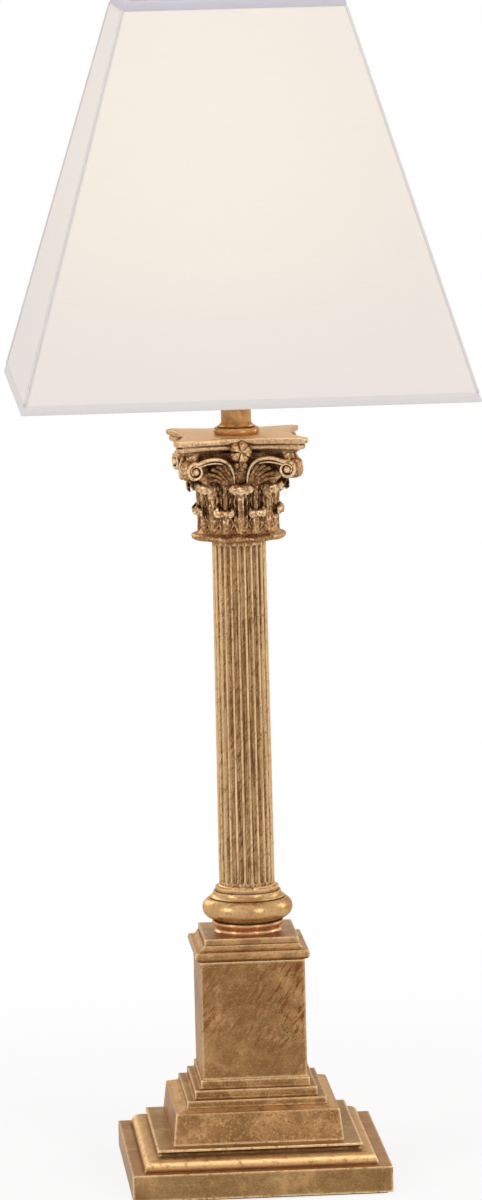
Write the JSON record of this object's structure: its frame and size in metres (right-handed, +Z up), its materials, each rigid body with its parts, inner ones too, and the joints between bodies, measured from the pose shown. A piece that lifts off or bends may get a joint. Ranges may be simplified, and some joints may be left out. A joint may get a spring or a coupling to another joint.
{
  "type": "table lamp",
  "caption": "Gilt column table lamp: stepped square base, fluted shaft, leaf capital and a square tapered fabric shade held on a harp.",
  "frame": {"origin": "centre of the underside of the felt pad, on the surface that the lamp stands on", "axes": "+Z up along the column, -Y towards the front of the picture, +X to the right"},
  "size_m": [0.3066, 0.3066, 0.8494],
  "materials": {
    "felt": "matte",
    "gilt_casting": "satin",
    "gilt_column": "satin",
    "gilt_capital": "satin",
    "copper_gilt_base": "satin",
    "burnished_brass": "polished",
    "cast_weight": "matte",
    "zinc_steel": "satin",
    "bushing_plastic": "matte",
    "plated_brass": "polished",
    "socket_brass": "satin",
    "liner_card": "matte",
    "switch_plastic": "matte",
    "screw_aluminium": "satin",
    "bulb_glass": "satin",
    "frame_wire": "gloss",
    "shade_fabric": "matte",
    "trim_fabric": "matte",
    "piping_fabric": "matte"
  },
  "bodies": {
    "lamp_base": {"felt_pad": "felt", "base_plinth": "gilt_casting", "base_weight": "cast_weight", "bottom_washer": "zinc_steel", "bottom_nut": "zinc_steel", "cord_bushing": "bushing_plastic", "lamp_pipe": "zinc_steel", "pedestal_foot": "gilt_casting", "pedestal_die": "gilt_casting", "pedestal_cap": "gilt_casting", "column_base": "copper_gilt_base", "column_shaft": "gilt_column", "capital": "gilt_capital", "neck_collar": "burnished_brass", "harp_saddle": "plated_brass", "socket_cap": "socket_brass", "socket_shell": "socket_brass", "socket_liner": "liner_card", "switch_body": "switch_plastic", "terminal_screws": "plated_brass", "screw_shell": "screw_aluminium", "centre_contact": "socket_brass", "harp": "plated_brass", "harp_stud": "plated_brass"},
    "knob": {"switch_knob": "switch_plastic"},
    "bulb": {"bulb_base": "screw_aluminium", "bulb_glass": "bulb_glass"},
    "sleeve_left": {"harp_sleeve_left": "plated_brass"},
    "sleeve_right": {"harp_sleeve_right": "plated_brass"},
    "shade": {"shade_panel_front": "shade_fabric", "shade_panel_right": "shade_fabric", "shade_panel_back": "shade_fabric", "shade_panel_left": "shade_fabric", "top_trim": "trim_fabric", "bottom_trim": "trim_fabric", "corner_piping": "piping_fabric", "bottom_ring": "frame_wire", "spider_frame": "frame_wire", "corner_ribs": "frame_wire"},
    "finial_body": {"finial": "burnished_brass"}
  },
  "joints": [
    {"name": "switch_turn", "type": "hinge", "parent": "lamp_base", "child": "knob", "pos_m": [0, -0.024, 0.567], "axis": [0, -1, 0], "continuous": true},
    {"name": "bulb_turn", "type": "hinge", "parent": "lamp_base", "child": "bulb", "pos_m": [0, 0, 0.59], "axis": [0, 0, 1], "continuous": true},
    {"name": "sleeve_left_lift", "type": "slide", "parent": "lamp_base", "child": "sleeve_left", "axis": [0, 0, 1], "range_m": [0, 0.012]},
    {"name": "sleeve_right_lift", "type": "slide", "parent": "lamp_base", "child": "sleeve_right", "axis": [0, 0, 1], "range_m": [0, 0.012]},
    {"name": "shade_swivel", "type": "hinge", "parent": "lamp_base", "child": "shade", "pos_m": [0, 0, 0.803], "axis": [0, 0, 1], "continuous": true},
    {"name": "finial_turn", "type": "hinge", "parent": "lamp_base", "child": "finial_body", "pos_m": [0, 0, 0.8044], "axis": [0, 0, 1], "continuous": true}
  ]
}
